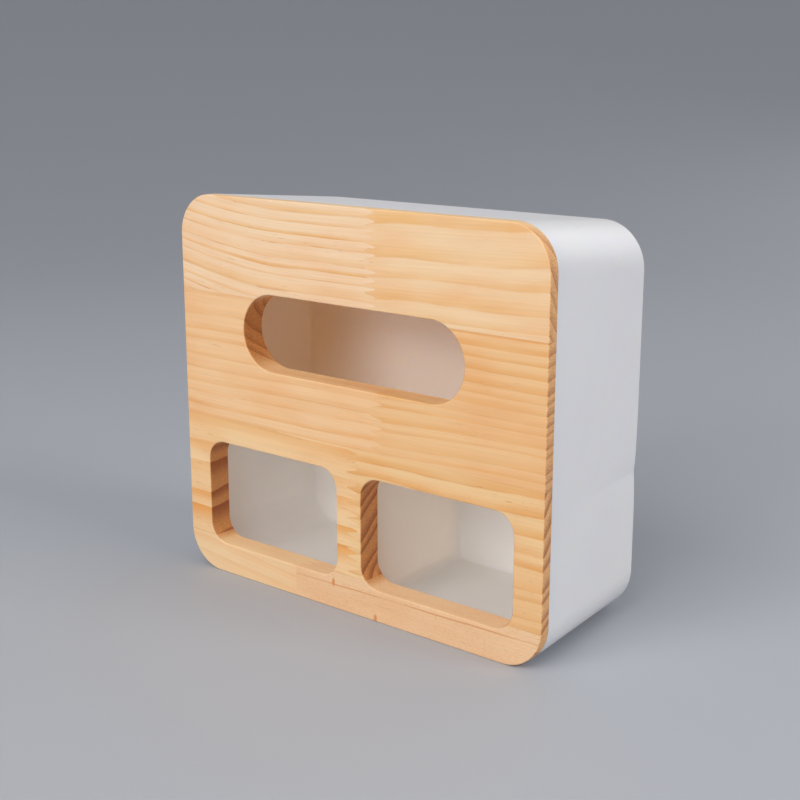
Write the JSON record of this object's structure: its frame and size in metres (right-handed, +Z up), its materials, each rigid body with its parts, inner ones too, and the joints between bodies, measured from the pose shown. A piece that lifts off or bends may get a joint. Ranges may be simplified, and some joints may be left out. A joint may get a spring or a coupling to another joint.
{
  "type": "tissue box",
  "caption": "Tissue box standing on its long side: white moulded tub with a press-in pine lid, which has a long tissue slot above rounded windows onto storage cells.",
  "frame": {"origin": "under the middle of the box, on the surface that it stands on", "axes": "+X along the front to the right, +Y from the lid to the back, +Z up"},
  "size_m": [0.215, 0.085, 0.19],
  "materials": {
    "white_plastic": "satin white moulded plastic",
    "pine": "sanded pine with a thin clear satin coat"
  },
  "bodies": {
    "tub": {"tub": "white_plastic"},
    "lid": {"lid_stave_top_left": "pine", "lid_stave_top_right": "pine", "lid_stave_slot_left": "pine", "lid_stave_slot_right": "pine", "lid_stave_window_left": "pine", "lid_stave_window_right": "pine", "lid_stave_bottom_left": "pine", "lid_stave_bottom_right": "pine"}
  },
  "joints": [
    {"name": "lid_pull", "type": "slide", "parent": "tub", "child": "lid", "axis": [0, -1, 0], "range_m": [0, 0.1]}
  ]
}
